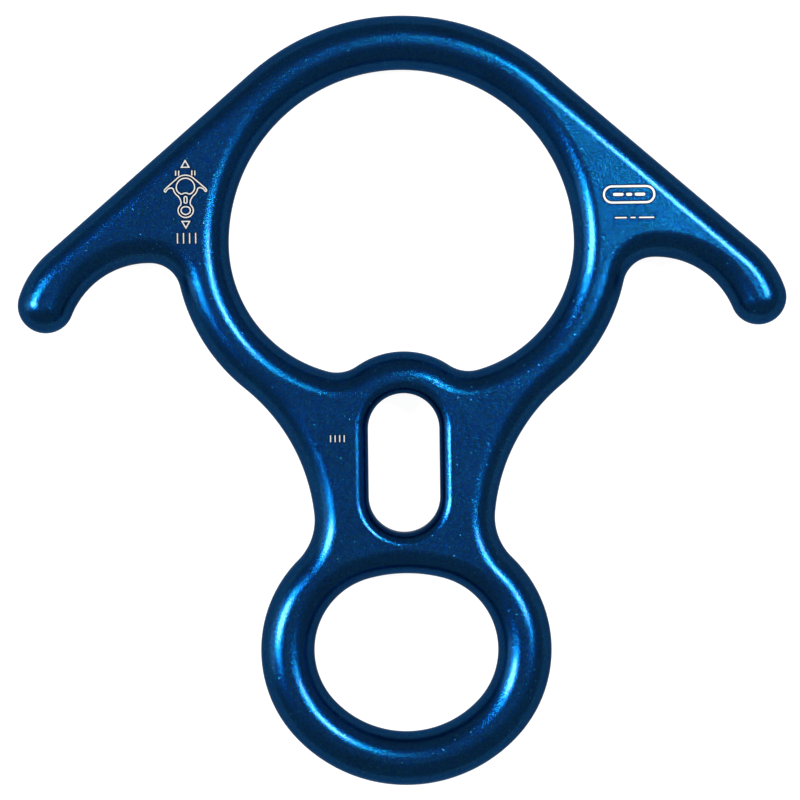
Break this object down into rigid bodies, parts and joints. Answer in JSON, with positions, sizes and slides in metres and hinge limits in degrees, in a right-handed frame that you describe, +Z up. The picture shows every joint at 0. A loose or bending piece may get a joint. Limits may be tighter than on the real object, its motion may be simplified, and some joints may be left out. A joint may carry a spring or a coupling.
{
  "type": "figure eight descender",
  "caption": "Flat figure eight descender: a large rope ring with downswept ears, a slotted waist and a smaller oval carabiner eye, all in a single forged alloy body.",
  "frame": {"origin": "centre of the footprint, on the plane of the lower flat face", "axes": "+X across the ears, +Y along the axis from the carabiner eye to the rope ring, +Z up through the thickness"},
  "size_m": [0.1536, 0.1538, 0.0125],
  "materials": {
    "blue_anodised_alloy": "forged, tumbled smooth and anodised deep blue, satin gloss with a fine grain"
  },
  "bodies": {
    "root": {"descender_body": "blue_anodised_alloy"}
  },
  "joints": []
}
